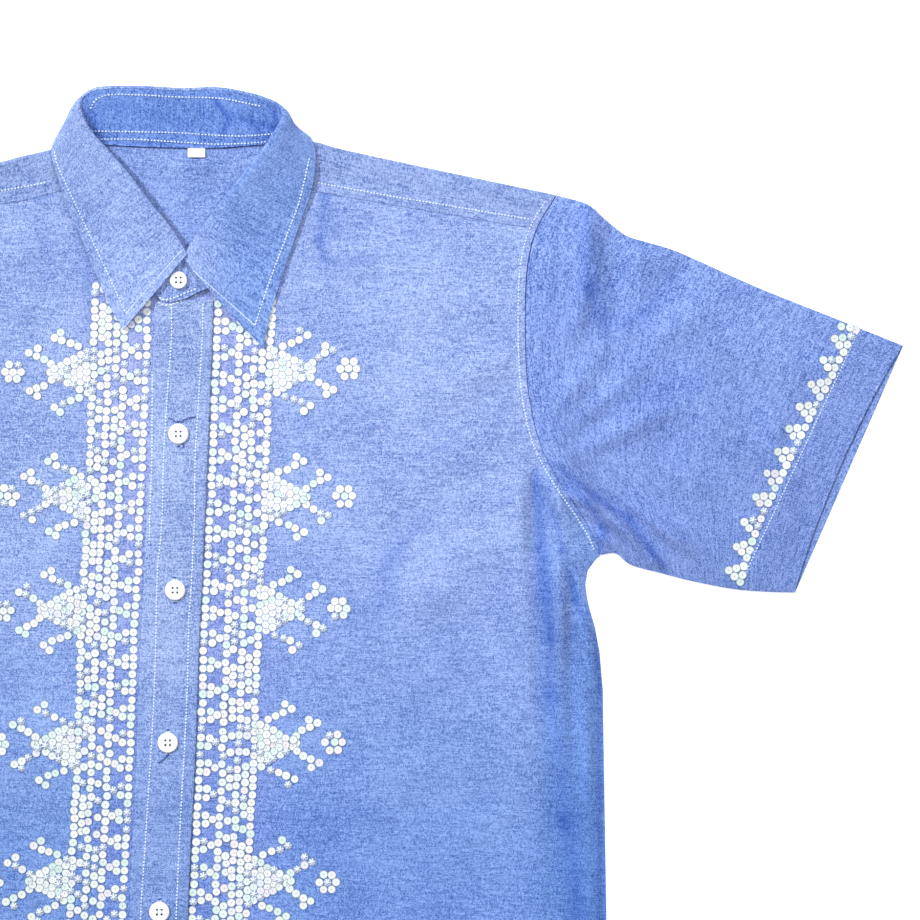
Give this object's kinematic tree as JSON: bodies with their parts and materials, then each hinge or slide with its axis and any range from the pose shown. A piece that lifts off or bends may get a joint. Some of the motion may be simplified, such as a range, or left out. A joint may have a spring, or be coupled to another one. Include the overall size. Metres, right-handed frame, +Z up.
{
  "type": "button-front shirt",
  "caption": "Short-sleeved button-front shirt of light blue chambray with a spread collar, laid flat, its fronts and sleeve hems trimmed with flat sequins.",
  "frame": {"origin": "middle of the box that bounds the shirt, on the surface that it lies on", "axes": "+X towards the viewer's right, across the sleeves; +Y towards the collar; +Z up, out of the front"},
  "size_m": [0.9376, 0.7812, 0.0168],
  "materials": {
    "cloth": "light blue chambray, a plain weave of coloured and white yarns, matt",
    "button": "white, four holes, turned rim, soft gloss",
    "label": "white woven tape, bare",
    "sequin": "white pearl film with a faint change of colour, cupped, sewn on",
    "thread": "white sewing thread"
  },
  "bodies": {
    "root": {"back": "cloth", "front_right": "cloth", "front_left": "cloth", "yoke": "cloth", "sleeve_right": "cloth", "sleeve_left": "cloth", "placket": "cloth", "collar_stand": "cloth", "collar_leaf": "cloth", "neck_label": "label", "button_1": "button", "button_2": "button", "button_3": "button", "button_4": "button", "button_5": "button", "button_6": "button"}
  },
  "joints": []
}
